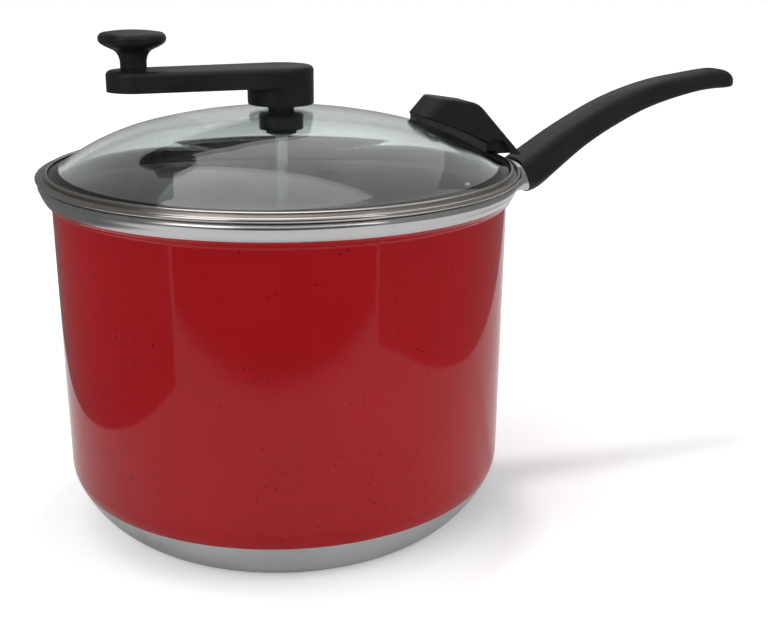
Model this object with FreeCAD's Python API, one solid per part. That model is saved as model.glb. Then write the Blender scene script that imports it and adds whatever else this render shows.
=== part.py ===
import FreeCAD, Part
import math
import os

# Stovetop popcorn popper, millimetres. The pot stands on z = 0 with its axis on Z, the handle
# points along +X, and the crank arm rests along -X.

Vector = FreeCAD.Vector
AXIS = Vector(0, 0, 1)
ORIGIN = Vector(0, 0, 0)

# ---- driving dimensions ----

# pot
pot_radius = 111.5            # outside of the wall above the base corner
wall_flare = 0.8              # the wall opens by this much from the base corner to the collar
pot_height = 177.0            # to the top of the rolled rim
wall = 1.6
floor = 3.0
corner_reach = 26.8           # how far the rounded base corner reaches inwards
corner_rise = 32.3            # and how far up the wall
corner_power = 1.5            # exponent of the corner's superellipse
rim_overhang = 6.1            # rolled rim outside the wall
rim_roll_radius = 2.1
collar_drop = 11.4            # from the rim top to the foot of the flared collar
collar_waist_rise = 3.4       # the middle of the flare above its foot
collar_waist_step = 3.6       # and outside the wall
collar_step = 5.2             # collar outside the wall at its bulge
collar_bulge_drop = 4.6       # bulge below the rim top
collar_neck_angle = 25.0      # degrees below level, where the collar meets the rim's roll

# lid
lid_gap = 0.3                 # lid stands this far off the rim
band_overhang = 1.0           # lid band outside the pot rim
band_bead = 1.25              # radius of the band's outer bead
band_sheet = 0.8
skirt_depth = 6.5
skirt_clearance = 0.9
ledge_reach = 4.9             # ledge under the glass, inwards from the glass edge
lip_reach = 1.2               # lip over the glass, inwards from the glass edge
groove_width = 1.9            # between bead and inner ring
seal = 0.5
glass_thickness = 4.0
glass_edge_height = 1.3       # ground cylindrical edge of the glass
crown_radius = 285.0
knuckle_reach = 44.725        # the crown turns into the knuckle this far from the glass edge
knuckle_radius = 113.4
flare_reach = 8.725           # and the knuckle turns out again this far from it
flare_radius = 27.0

# bearing in the lid
shaft_radius = 3.0
running_gap = 0.05            # radial, between turning and standing parts
end_play = 0.3                # axial, between turning and standing parts
bush_radius = 4.5
bush_flange_radius = 6.5
bush_flange = 0.9
glass_hole_gap = 0.4
washer_thickness = 0.8
nut_radius = 10.9
nut_height = 7.0
nut_edge = 0.9
bush_tail = 0.5               # bushing below its nut

# crank
crank_length = 72.0
crank_turn = 3.0              # degrees the arm rests past -X
arm_hub_radius = 16.3
arm_end_radius = 13.0
arm_thickness = 9.7
boss_height = 9.1
arm_top_round = 2.5
arm_edge_round = 0.8
crank_insert_radius = 5.5
crank_insert_length = 13.0
clip_radius = 5.5
clip_thickness = 0.8
clip_groove_depth = 0.7
thrust_washer_radius = 7.5
thrust_washer_thickness = 1.0

# stirrer
stir_clearance = 1.6          # blades above the pot floor
hub_radius = 8.0
hub_height = 15.0
hub_flange_radius = 16.0
hub_flange = 2.0
blade_gap = 27.9              # from the blade's tip to the wall's inside
blade_width = 15.0
blade_sheet = 1.5
blade_fin = 9.0
stir_rivet_radius = 1.6
stir_rivet_head = 3.0
stir_rivet_dome = 1.2
hub_pin_radius = 1.25

# knob
knob_radius = 15.5
knob_height = 17.3
knob_neck_radius = 6.1
knob_neck_height = 5.0
knob_rim_height = 14.0        # widest place above the knob's foot
knob_underside_height = 10.9  # lower edge of the cap
knob_crown = 1.1
knob_insert_radius = 4.0
knob_insert_length = 9.0
knob_screw_radius = 2.5
knob_thread_radius = 2.0
knob_head_radius = 4.3
knob_head_height = 2.6
knob_washer_radius = 6.0
knob_washer_thickness = 0.5
counterbore_gap = 0.5

# thumb rest
rest_width = 22.0
rest_length = 40.5            # from its inner end to its heel on the glass
rest_height = 12.0            # above the glass at the inner end
rest_end_slope = 9.0          # how far the inner face leans outwards over its height
rest_end_round = 8.5          # upright corners of the inner end
rest_edge_round = 2.0
rest_foot_round = 0.8
rest_heel_inset = 4.725       # its heel inside the band's pocket
rest_brow_inset = 11.3        # where its top bends down to the nose, inside the band's pocket
rest_brow_drop = 4.0          # and how far that is below the inner end's top
rest_sink = 4.0               # how far its outline runs below the pad before it is cut
pad_start = 2.4               # pad's thickness at the inner end
pad_heel = 4.8                # and at the heel
pad_inset = 1.2               # pad inside the thumb rest's sides
rest_screw_inset = 15.0       # from the inner end
rest_screw_radius = 2.0
rest_head_radius = 4.0
rest_head_height = 2.4
rest_washer_radius = 6.5
rest_washer_thickness = 1.0
rest_insert_radius = 3.5
rest_insert_length = 6.5
nose_overhang = 9.6           # nose tip outside the lid band
nose_height = 1.4             # nose tip above the lid's bead
nose_gap = 0.6                # underside of the nose above the lid band's ring and bead
notch_height = 7.6            # roof of the recess in each side of the nose, above the lid band's ring
notch_depth = 4.0             # and how deep the recess is

# handle
grip_length = 138.3           # from the root's upper corner to the tip
grip_standoff = 17.7          # the root's upper corner outside the wall
grip_root_drop = 0.3          # and below the rim top
grip_root_height = 17.7
root_slant = 6.5              # lower corner of the root end stands out this much further
grip_rise = 43.9              # crest of the grip above its root's upper corner
grip_root_width = 24.0
grip_waist_width = 20.0
grip_tip_width = 20.5
grip_depth = 17.0             # at the waist
grip_squareness = 3.0         # exponent of the section's superellipse
hang_hole_radius = 3.5
hang_hole_inset = 14.0        # hole centre from the tip
tang_width = 13.0
tang_thickness = 4.5
tang_length = 58.0
tang_slope = 25.0             # degrees
tang_drop = 17.0              # the tang leaves the wall this far below the rim top
pocket_gap = 0.15
plate_thickness = 1.8
plate_half_width = 15.5
plate_drop = 14.0             # plate's upper edge below the rim top
plate_height = 14.5
plate_corner = 4.0
guard_sheet = 1.2
guard_foot_width = 40.0
guard_root_width = 23.4
guard_foot_drop = 31.5        # lower edge of the guard at the wall, below the rim top
guard_crown_drop = 5.4        # upper edge of the guard at the wall, below the rim top
guard_root_drop = 18.1        # and at the grip
guard_root_rise = 0.0         # upper edge of the guard at the grip, above the rim top
handle_screw_radius = 2.5
handle_screw_place = 43.0     # along the tang
handle_head_radius = 4.3
handle_head_height = 3.0
handle_insert_radius = 3.6
handle_insert_length = 6.0
head_seat = 4.5               # material between pocket and screw head
rivet_radius = 2.0
rivet_head_radius = 3.6
rivet_dome = 1.6
rivet_spread = 11.0
rivet_drop = 5.5              # upper pair of rivets below the plate's upper edge
rivet_step = 5.2              # third rivet below that pair

# ---- worked-out places ----

inner_radius = pot_radius - wall
mouth_radius = pot_radius + wall_flare    # outside of the wall under the collar
rim_radius = mouth_radius + rim_overhang
roll_centre_r = rim_radius - rim_roll_radius
roll_centre_z = pot_height - rim_roll_radius
collar_foot = pot_height - collar_drop

lid_plane = pot_height + lid_gap
band_radius = rim_radius + band_overhang
band_top = lid_plane + 2 * band_bead
ledge_top = lid_plane + band_sheet
ring_outer = band_radius - 2 * band_bead - groove_width + band_bead / 2
pocket_radius = ring_outer - band_sheet / 2
glass_radius = pocket_radius - seal
glass_seat = ledge_top + seal
skirt_outer = roll_centre_r - rim_roll_radius - skirt_clearance
knuckle_start = glass_radius - knuckle_reach
flare_start = glass_radius - flare_reach
crown_angle = math.asin(knuckle_start / crown_radius)

rest_heel = pocket_radius - rest_heel_inset
rest_start = rest_heel - rest_length
rest_screw_place = rest_start + rest_screw_inset

grip_root = mouth_radius + grip_standoff
grip_reach = grip_root + grip_length
grip_root_top = pot_height - grip_root_drop
grip_root_bottom = grip_root_top - grip_root_height
tang_foot = pot_height - tang_drop
plate_top = pot_height - plate_drop
plate_bottom = plate_top - plate_height
guard_foot_bottom = pot_height - guard_foot_drop
guard_root_bottom = pot_height - guard_root_drop
guard_root_top = pot_height + guard_root_rise
rivet_row = plate_top - rivet_drop
rivet_low = rivet_row - rivet_step
blade_length = inner_radius - blade_gap


def wall_radius(z):
    """Outside radius of the slightly tapered wall at a height."""
    share = (z - corner_rise) / (collar_foot - corner_rise)
    return pot_radius + share * (mouth_radius - pot_radius)


def glass_angle(r):
    """Slope angle of the glass's outer face at radius r."""
    if r <= knuckle_start:
        return math.asin(r / crown_radius)
    slope = math.sin(crown_angle) + (min(r, flare_start) - knuckle_start) / knuckle_radius
    return math.asin(slope - max(r - flare_start, 0) / flare_radius)


def glass_drop(r):
    """Height lost between the apex and radius r on the glass's outer face."""
    drop = crown_radius * (1 - math.cos(glass_angle(min(r, knuckle_start))))
    if r > knuckle_start:
        drop += knuckle_radius * (math.cos(crown_angle) - math.cos(glass_angle(min(r, flare_start))))
    if r > flare_start:
        drop += flare_radius * (math.cos(glass_angle(r)) - math.cos(glass_angle(flare_start)))
    return drop


def pad_height(r):
    """Thickness of the pad under the thumb rest at radius r."""
    share = (r - rest_start) / (rest_heel - rest_start)
    return pad_start + (pad_heel - pad_start) * share ** 2


glass_apex = glass_seat + glass_edge_height + glass_drop(glass_radius)
glass_under = glass_apex - glass_thickness
flange_bottom = glass_apex + washer_thickness
flange_top = flange_bottom + bush_flange
nut_top = glass_under - washer_thickness
nut_bottom = nut_top - nut_height
bush_bottom = nut_bottom - bush_tail

boss_bottom = flange_top + end_play
arm_bottom = boss_bottom + boss_height
arm_top = arm_bottom + arm_thickness
thrust_top = bush_bottom - end_play
thrust_bottom = thrust_top - thrust_washer_thickness
clip_bottom = thrust_bottom - clip_thickness
blade_bottom = floor + stir_clearance
hub_bottom = blade_bottom + blade_sheet
shaft_bottom = hub_bottom + hub_flange
shaft_top = boss_bottom + crank_insert_length
knob_foot = arm_top + knob_washer_thickness + end_play
knob_x = -crank_length    # before the crank is turned to its rest place
head_top = arm_top - arm_thickness / 2 - end_play

rest_pad = pad_height(rest_screw_place)
rest_tip = band_radius + nose_overhang
tang_angle = math.radians(tang_slope)
guard_angle = math.atan2(root_slant, grip_root_top - grip_root_bottom)


def glass_height(r):
    """Height of the glass's outer face at radius r."""
    return glass_apex - glass_drop(r)


# ---- helpers ----

def point(r, z):
    return Vector(r, 0, z)


def line(a, b):
    return Part.LineSegment(a, b).toShape()


def arc(a, b, c):
    return Part.Arc(a, b, c).toShape()


def spline(points):
    curve = Part.BSplineCurve()
    curve.interpolate(points)
    return curve.toShape()


def rounded(corners):
    """Closed outline in the XZ plane through (x, z, radius) corners, each rounded by its radius."""
    count = len(corners)
    edges = []
    ends = []
    for i in range(count):
        x, z, radius = corners[i]
        here = point(x, z)
        before = (point(*corners[i - 1][:2]) - here).normalize()
        after = (point(*corners[(i + 1) % count][:2]) - here).normalize()
        half = before.getAngle(after) / 2
        if radius <= 0:
            ends.append((here, here, here))
            continue
        reach = radius / math.tan(half)
        middle = (before + after).normalize() * (radius / math.sin(half))
        inner = middle.normalize() * (radius / math.sin(half) - radius)
        ends.append((here + before * reach, here + inner, here + after * reach))
    for i in range(count):
        start, middle, end = ends[i]
        if start.distanceToPoint(end) > 1e-6:
            edges.append(arc(start, middle, end))
        following = ends[(i + 1) % count][0]
        if end.distanceToPoint(following) > 1e-6:
            edges.append(line(end, following))
    return Part.Wire(edges)


def turned(edges, centre=ORIGIN):
    """Solid of revolution about the Z axis through centre, from edges drawn in the XZ plane."""
    face = Part.Face(Part.Wire(edges))
    solid = face.revolve(ORIGIN, AXIS, 360)
    solid.translate(centre)
    return solid


def turned_outline(corners):
    return turned(rounded(corners).Edges)


def disc(radius, bottom, top, x=0.0):
    return Part.makeCylinder(radius, top - bottom, Vector(x, 0, bottom), AXIS)


def ring(outer, inner, bottom, top, x=0.0):
    return disc(outer, bottom, top, x).cut(disc(inner, bottom - 1, top + 1, x))


def rod(start, direction, radius, length):
    return Part.makeCylinder(radius, length, start, direction)


def dome_head(radius, height):
    """Shallow rivet or screw head on the XY plane, domed towards +Z."""
    sphere_radius = (radius ** 2 + height ** 2) / (2 * height)
    ball = Part.makeSphere(sphere_radius, Vector(0, 0, height - sphere_radius))
    return ball.common(Part.makeCylinder(radius * 2, height))


def placed(shape, base, direction):
    """Moves a shape built on the XY plane to base, with its Z axis along direction."""
    moved = shape.copy()
    moved.Placement = FreeCAD.Placement(base, FreeCAD.Rotation(AXIS, direction))
    return moved


def export(name, shape):
    clean = shape.removeSplitter()
    clean.exportStep("parts/" + name + ".step")
    print(name, "solids", len(clean.Solids), "volume", round(clean.Volume, 1), "valid", clean.isValid())


# ---- pot ----

def corner_curve(radius, run, base, rise):
    """Base corner: a superellipse from the flat base out to the straight wall."""
    steps = 12
    points = []
    for i in range(steps + 1):
        angle = math.pi / 2 * i / steps
        across = math.sin(angle) ** (2 / corner_power)
        up = 1 - math.cos(angle) ** (2 / corner_power)
        points.append(point(radius - run + run * across, base + rise * up))
    return spline(points)


def collar_points(offset):
    """Foot, waist and bulge of the flared collar, offset inwards by the sheet's thickness."""
    bulge_z = pot_height - collar_bulge_drop
    foot = point(mouth_radius - offset, collar_foot + offset / 2)
    waist = point(mouth_radius + collar_waist_step - offset * 0.8, collar_foot + collar_waist_rise + offset * 0.6)
    bulge = point(mouth_radius + collar_step - offset, bulge_z + offset / 4)
    return foot, waist, bulge


def outer_profile():
    """Edges of the pot's outside from the axis to the rolled rim."""
    foot, waist, bulge = collar_points(0)
    neck_angle = math.radians(-collar_neck_angle)
    neck = point(roll_centre_r + rim_roll_radius * math.cos(neck_angle),
                 roll_centre_z + rim_roll_radius * math.sin(neck_angle))
    crest = point(roll_centre_r, pot_height)
    side = point(roll_centre_r + rim_roll_radius, roll_centre_z)
    edges = [line(ORIGIN, point(pot_radius - corner_reach, 0))]
    edges.append(corner_curve(pot_radius, corner_reach, 0, corner_rise))
    edges.append(line(point(pot_radius, corner_rise), foot))
    edges.append(arc(foot, waist, bulge))
    edges.append(line(bulge, neck))
    edges.append(arc(neck, side, crest))
    return edges


def pot_shell():
    foot, waist, bulge = collar_points(wall)
    crest = point(roll_centre_r, pot_height)
    inside = point(roll_centre_r - rim_roll_radius, roll_centre_z)
    edge = math.sqrt(0.5) * rim_roll_radius
    roll_in = point(roll_centre_r - edge, roll_centre_z + edge)
    edges = outer_profile()
    edges.append(arc(crest, roll_in, inside))
    edges.append(line(inside, bulge))
    edges.append(arc(bulge, waist, foot))
    edges.append(line(foot, point(inner_radius, corner_rise)))
    inner_run = corner_reach - wall / 2
    edges.append(corner_curve(inner_radius, inner_run, floor, corner_rise - floor))
    edges.append(line(point(inner_radius - inner_run, floor), point(0, floor)))
    edges.append(line(point(0, floor), ORIGIN))
    shell = turned(edges)
    for angle, height in rivet_places():
        shell = shell.cut(rivet_hole(angle, height))
    return shell


def pot_envelope():
    """The pot as a filled body, for trimming what is fitted against its outside."""
    edges = outer_profile()
    edges.append(line(point(roll_centre_r, pot_height), point(0, pot_height)))
    edges.append(line(point(0, pot_height), ORIGIN))
    return turned(edges)


# ---- handle fixing ----

def rivet_places():
    """Angle about the pot axis and height of each bracket rivet."""
    side = math.asin(rivet_spread / wall_radius(rivet_row))
    return [(-side, rivet_row), (side, rivet_row), (0.0, rivet_low)]


def rivet_hole(angle, height):
    """Drill for one bracket rivet, through the wall and the bracket's plate."""
    direction = Vector(math.cos(angle), math.sin(angle), 0)
    start = wall_radius(height) - 3 * wall
    return rod(direction * start + Vector(0, 0, height), direction, rivet_radius, 6 * (wall + plate_thickness))


def bracket_rivets():
    rivets = []
    for angle, height in rivet_places():
        direction = Vector(math.cos(angle), math.sin(angle), 0)
        lift = Vector(0, 0, height)
        # the inner head's flat underside touches the curved, tapered wall at its edge
        narrowest = min(wall_radius(height - rivet_head_radius), wall_radius(height + rivet_head_radius))
        inside = narrowest - wall
        flat = math.sqrt(inside ** 2 - rivet_head_radius ** 2)
        outside = mouth_radius + plate_thickness
        shank = rod(direction * flat + lift, direction, rivet_radius, outside - flat)
        inner_head = placed(dome_head(rivet_head_radius, rivet_dome), direction * flat + lift, direction * -1)
        outer_head = placed(dome_head(rivet_head_radius, rivet_dome), direction * outside + lift, direction)
        rivets.append(shank.fuse([inner_head, outer_head]).removeSplitter())
    return Part.makeCompound(rivets)


def along_tang(distance, up=0.0):
    """Point at a distance along the tang's centre line, and up from it at right angles."""
    x = mouth_radius + distance * math.cos(tang_angle) - up * math.sin(tang_angle)
    z = tang_foot + distance * math.sin(tang_angle) + up * math.cos(tang_angle)
    return point(x, z)


def tang_block(start, end, width, thickness):
    corners = [along_tang(start, -thickness / 2), along_tang(end, -thickness / 2),
               along_tang(end, thickness / 2), along_tang(start, thickness / 2)]
    face = Part.Face(Part.makePolygon(corners + corners[:1]))
    face.translate(Vector(0, -width / 2, 0))
    return face.extrude(Vector(0, width, 0))


def screw_axis():
    """Direction of the handle screw: square to the tang, pointing up."""
    return Vector(-math.sin(tang_angle), 0, math.cos(tang_angle))


def handle_bracket():
    plate = disc(mouth_radius + plate_thickness, plate_bottom, plate_top)
    window = Part.makeBox(mouth_radius * 2, plate_half_width * 2, plate_height)
    window.translate(Vector(mouth_radius / 2, -plate_half_width, plate_bottom))
    window = window.makeFillet(plate_corner, [e for e in window.Edges if e.Length > mouth_radius * 1.9])
    tang = tang_block(-3, tang_length, tang_width, tang_thickness)
    bracket = plate.common(window).fuse(tang).cut(pot_envelope())
    for angle, height in rivet_places():
        bracket = bracket.cut(rivet_hole(angle, height))
    hole = rod(along_tang(handle_screw_place, -tang_thickness), screw_axis(),
               handle_screw_radius + pocket_gap, tang_thickness * 2)
    return bracket.cut(hole)


def root_cutter():
    """Everything on the pot's side of the slanted root end of the grip."""
    low = grip_root_bottom - 2 * grip_root_height
    high = grip_root_top + 2 * grip_root_height
    lean = root_slant / grip_root_height
    x_low = grip_root + (grip_root_top - low) * lean
    x_high = grip_root + (grip_root_top - high) * lean
    corners = [point(0, low), point(x_low, low), point(x_high, high), point(0, high)]
    face = Part.Face(Part.makePolygon(corners + corners[:1]))
    face.translate(Vector(0, -2 * guard_foot_width, 0))
    return face.extrude(Vector(0, 4 * guard_foot_width, 0))


def oval(x, bottom, top, width, power):
    """Closed superellipse outline in the plane at x, from bottom to top and width across."""
    points = []
    steps = 20
    for i in range(steps):
        angle = 2 * math.pi * i / steps
        c = math.cos(angle)
        s = math.sin(angle)
        y = width / 2 * math.copysign(abs(c) ** (2 / power), c)
        z = (top + bottom) / 2 + (top - bottom) / 2 * math.copysign(abs(s) ** (2 / power), s)
        points.append(Vector(x, y, z))
    curve = Part.BSplineCurve()
    curve.interpolate(points, True)
    return Part.Wire([curve.toShape()])


def guard_body(inset):
    """Flared body between wall and grip, with its skin moved inwards by inset."""
    root_x = grip_root + root_slant + 4
    # share of the way out, share of the flare that is left there
    stations = [(-0.45, 1.2), (-0.05, 1.03), (0.16, 0.88), (0.37, 0.5), (0.57, 0.08), (0.75, 0.0), (1.0, 0.0)]
    foot_top = pot_height - guard_crown_drop
    sections = []
    for share, flare in stations:
        x = mouth_radius + share * (root_x - mouth_radius)
        bottom = guard_root_bottom + flare * (guard_foot_bottom - guard_root_bottom) + inset
        top = foot_top + max(share, 0) * (guard_root_top - foot_top) * 1.15 - inset
        width = guard_root_width + flare * (guard_foot_width - guard_root_width) - 2 * inset
        sections.append(oval(x, bottom, top, width, grip_squareness))
    return Part.makeLoft(sections, True)


def flame_guard():
    body = guard_body(0).cut(guard_body(guard_sheet))
    return body.cut(pot_envelope()).common(root_cutter())


# ---- grip ----

def grip_stations():
    """x, bottom, top and width of the grip's sections from the root to the tip."""
    # share of the length, share of the rise that the top has reached, depth over the waist's depth
    shape = [(-0.043, -0.084, 0.85), (0.0, 0.0, 1.08), (0.029, 0.057, 1.25), (0.058, 0.114, 1.38),
             (0.094, 0.185, 1.45), (0.145, 0.283, 1.41), (0.203, 0.385, 1.31), (0.275, 0.501, 1.18),
             (0.362, 0.633, 1.09), (0.463, 0.754, 0.99), (0.564, 0.843, 0.86), (0.666, 0.909, 0.77),
             (0.767, 0.950, 0.68), (0.854, 0.984, 0.65), (0.926, 0.995, 0.64)]
    waist = 0.45
    length = grip_reach - grip_root
    stations = []
    for share, height, depth in shape:
        top = grip_root_top + height * grip_rise
        if share < waist:
            width = grip_root_width + (grip_waist_width - grip_root_width) * max(share, 0) / waist
        else:
            width = grip_waist_width + (grip_tip_width - grip_waist_width) * (share - waist) / (1 - waist)
        stations.append((grip_root + share * length, top - depth * grip_depth, top, width))
    # the tip is rounded in plan and droops on its upper side
    x0, bottom0, top0, width0 = stations[-1]
    run = grip_reach - x0
    for share in (0.35, 0.65, 0.86, 0.97, 1.0):
        round_off = math.sqrt(1 - min(share, 0.985) ** 2)
        top = bottom0 + 0.9 + (top0 - bottom0 - 0.9) * round_off ** 0.9
        bottom = bottom0 + 0.9 * (1 - round_off)
        stations.append((x0 + share * run, bottom, top, width0 * (0.28 + 0.72 * round_off)))
    return stations


def grip_blank():
    return Part.makeLoft([oval(*station, grip_squareness) for station in grip_stations()], True)


def handle_screw_frame():
    return along_tang(handle_screw_place, -tang_thickness / 2 - head_seat)


def handle_grip():
    grip = grip_blank().cut(root_cutter())
    pocket = tang_block(0, tang_length + pocket_gap, tang_width + 2 * pocket_gap,
                        tang_thickness + 2 * pocket_gap)
    up = screw_axis()
    seat = handle_screw_frame()
    counterbore = rod(seat, up * -1, handle_head_radius + counterbore_gap, 2 * grip_depth)
    through = rod(seat, up, handle_screw_radius + pocket_gap, head_seat + tang_thickness)
    insert_hole = rod(along_tang(handle_screw_place), up, handle_insert_radius,
                      tang_thickness / 2 + pocket_gap + handle_insert_length)
    hole = disc(hang_hole_radius, grip_root_bottom, grip_root_top + 2 * grip_rise, grip_reach - hang_hole_inset)
    return grip.cut([pocket, counterbore, through, insert_hole, hole])


def handle_insert():
    up = screw_axis()
    base = along_tang(handle_screw_place, tang_thickness / 2 + pocket_gap)
    body = rod(base, up, handle_insert_radius, handle_insert_length)
    return body.cut(rod(base, up, handle_screw_radius, handle_insert_length - 1))


def handle_screw():
    up = screw_axis()
    seat = handle_screw_frame()
    length = head_seat + tang_thickness + pocket_gap + handle_insert_length - 1.5
    shank = rod(seat, up, handle_screw_radius, length)
    head = placed(dome_head(handle_head_radius, handle_head_height), seat, up * -1)
    slot = Part.makeBox(handle_head_radius * 3, 1.2, 1.2)
    slot.translate(Vector(-handle_head_radius * 1.5, -0.6, handle_head_height - 1.0))
    return shank.fuse(head.cut(placed(slot, seat, up * -1))).removeSplitter()


# ---- lid ----

def dome_point(r, offset):
    """Point on the glass's outer face at radius r, moved inwards by offset."""
    angle = glass_angle(r)
    return point(r - offset * math.sin(angle), glass_height(r) - offset * math.cos(angle))


def dome_fill(offset):
    """Filled body under the glass's outer face moved inwards by offset."""
    stops = (0.0, knuckle_start, flare_start, glass_radius)
    edges = []
    for start, end in zip(stops, stops[1:]):
        middle = (start + end) / 2
        edges.append(arc(dome_point(start, offset), dome_point(middle, offset), dome_point(end, offset)))
    rim = dome_point(glass_radius, offset)
    edges.append(line(rim, point(0, rim.z)))
    edges.append(line(point(0, rim.z), dome_point(0, offset)))
    return turned(edges)


def glass_blank():
    """The dome with its ground edge, before the holes are drilled."""
    edge = disc(glass_radius, glass_seat, glass_seat + glass_edge_height)
    return dome_fill(0).fuse(edge).cut(dome_fill(glass_thickness)).removeSplitter()


def rest_normal():
    """Outward direction of the glass where the thumb rest is screwed on."""
    angle = glass_angle(rest_screw_place)
    return Vector(math.sin(angle), 0, math.cos(angle))


def rest_foot(up=0.0):
    """Point on the thumb rest's screw axis, a distance outside the glass's outer face."""
    return point(rest_screw_place, glass_height(rest_screw_place)) + rest_normal() * up


def lid_glass():
    glass = glass_blank()
    centre_hole = disc(bush_radius + glass_hole_gap, 0, glass_apex + 10)
    rest_hole = rod(rest_foot(-2 * glass_thickness), rest_normal(), rest_screw_radius + glass_hole_gap,
                    4 * glass_thickness)
    return glass.cut([centre_hole, rest_hole])


def lip_line():
    """Underside of the band's lip: two points just above the glass's outer face."""
    inner_r = glass_radius - lip_reach
    inner = point(inner_r, glass_height(inner_r) + seal)
    outer = point(pocket_radius, glass_height(glass_radius) + seal / 2)
    return inner, outer


def lid_rim_band():
    lip_inner, lip_outer = lip_line()
    bead_r = band_radius - band_bead
    bead_z = lid_plane + band_bead
    groove_r = bead_r - band_bead
    low = lid_plane - skirt_depth
    ledge_inner = glass_radius - ledge_reach
    skirt_inner = skirt_outer - band_sheet
    ring_top = lip_inner.z + band_sheet
    edges = []
    chain = [point(ledge_inner, ledge_top), point(ledge_inner, lid_plane), point(skirt_inner, lid_plane),
             point(skirt_inner, low), point(skirt_outer, low), point(skirt_outer, lid_plane),
             point(bead_r, lid_plane)]
    for a, b in zip(chain, chain[1:]):
        edges.append(line(a, b))
    bead_end_angle = math.radians(140)
    bead_end = point(bead_r + band_bead * math.cos(bead_end_angle), bead_z + band_bead * math.sin(bead_end_angle))
    edges.append(arc(chain[-1], point(band_radius, bead_z), bead_end))
    groove = point((groove_r + ring_outer) / 2, bead_z + 0.1)
    ring_side = point(ring_outer, bead_z + 0.9)
    edges.append(arc(bead_end, groove, ring_side))
    ring_shoulder = point(ring_outer, ring_top - band_sheet / 2)
    ring_crest = point((lip_inner.x + ring_outer) / 2, ring_top)
    ring_lip = point(lip_inner.x, lip_inner.z + band_sheet / 3)
    edges.append(line(ring_side, ring_shoulder))
    edges.append(arc(ring_shoulder, ring_crest, ring_lip))
    edges.append(line(ring_lip, lip_inner))
    edges.append(line(lip_inner, lip_outer))
    edges.append(line(lip_outer, point(pocket_radius, ledge_top)))
    edges.append(line(point(pocket_radius, ledge_top), chain[0]))
    return turned(edges)


def glass_edge_seal():
    lip_inner, lip_outer = lip_line()
    corners = [(glass_radius - ledge_reach, ledge_top, 0), (pocket_radius, ledge_top, 0),
               (pocket_radius, lip_outer.z, 0), (lip_inner.x, lip_inner.z, 0),
               (lip_inner.x, lip_inner.z - seal * 1.5, 0), (glass_radius - ledge_reach, glass_seat, 0)]
    return turned_outline(corners).cut(glass_blank())


def lid_bushing():
    tube = disc(bush_radius, bush_bottom, flange_bottom)
    flange = disc(bush_flange_radius, flange_bottom, flange_top)
    bore = disc(shaft_radius + running_gap, bush_bottom - 1, flange_top + 1)
    return tube.fuse(flange).cut(bore).removeSplitter()


def bushing_nut():
    return turned_outline([(bush_radius, nut_bottom, 0), (nut_radius, nut_bottom, nut_edge),
                           (nut_radius, nut_top, nut_edge), (bush_radius, nut_top, 0)])


def glass_washer(top, bottom, radius):
    return ring(radius, bush_radius, bottom, top)


def upper_glass_washer():
    # the underside follows the crown, which falls away from the apex
    washer = glass_washer(flange_bottom, glass_apex - washer_thickness, bush_flange_radius)
    return washer.cut(glass_blank())


def lower_glass_washer():
    washer = glass_washer(glass_under, nut_top, nut_radius - nut_edge)
    return washer.cut(glass_blank())


# ---- thumb rest ----

def rest_outline():
    """Side outline of the thumb rest in the XZ plane; its underside is cut to the pad later."""
    inner_z = glass_height(rest_start) + pad_start
    rise = rest_height - pad_start
    lean = rest_end_slope / rise
    ring_top = lip_line()[0].z + band_sheet
    brow = pocket_radius - rest_brow_inset
    brow_z = inner_z + rise - rest_brow_drop
    tip_z = band_top + nose_height
    return [
        (rest_start - lean * rest_sink, inner_z - rest_sink, 0),
        (rest_start + rest_end_slope, inner_z + rise, 0),
        (brow, brow_z, 13.0),
        (rest_tip, tip_z, 0),
        (rest_tip, tip_z - 1.4, 0),
        (rest_tip - 4.8, band_top + nose_gap, 1.5),
        (ring_outer + nose_gap, band_top + nose_gap, 0.4),
        (ring_outer + nose_gap, ring_top + nose_gap, 0.4),
        (rest_heel, ring_top + nose_gap, 0),
        (rest_heel - 2, glass_height(rest_heel) + pad_heel - rest_sink, 0),
    ]


def nose_recesses():
    """Cutter for the blind recess in each side of the nose, over the lid's band."""
    roof = lip_line()[0].z + band_sheet + notch_height
    low = lid_plane
    outline = [(rest_heel, low, 0), (rest_heel, glass_height(rest_heel) + pad_heel, 0),
               (pocket_radius - 4.2, roof, 1.5), (band_radius - 0.6, roof - 1.2, 3.0),
               (rest_tip - 4.8, band_top + nose_height - 0.6, 0), (rest_tip - 4.8, low, 0)]
    face = Part.Face(rounded(outline))
    face.translate(Vector(0, rest_width / 2 - notch_depth, 0))
    recess = face.extrude(Vector(0, notch_depth * 2, 0))
    return [recess, recess.mirror(ORIGIN, Vector(0, 1, 0))]


def under_the_rest():
    """Everything below the pad's top along the middle of the thumb rest."""
    middle = (rest_start + rest_heel) / 2
    stops = (rest_start, middle, rest_heel)
    top = arc(*[point(r, glass_height(r) + pad_height(r)) for r in stops])
    # the arc is carried on past both ends along its circle
    circle = top.Curve
    places = []
    for r in (rest_start - rest_height, middle, rest_heel):
        z = circle.Center.z + math.sqrt(circle.Radius ** 2 - (r - circle.Center.x) ** 2)
        places.append(point(r, z))
    deep = places[2].z - rest_width
    edges = [arc(*places), line(places[2], point(places[2].x, deep))]
    edges.append(line(point(places[2].x, deep), point(places[0].x, deep)))
    edges.append(line(point(places[0].x, deep), places[0]))
    face = Part.Face(Part.Wire(edges))
    face.translate(Vector(0, -rest_width, 0))
    return face.extrude(Vector(0, 2 * rest_width, 0))


def edge_middle(edge):
    return edge.valueAt((edge.FirstParameter + edge.LastParameter) / 2)


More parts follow.
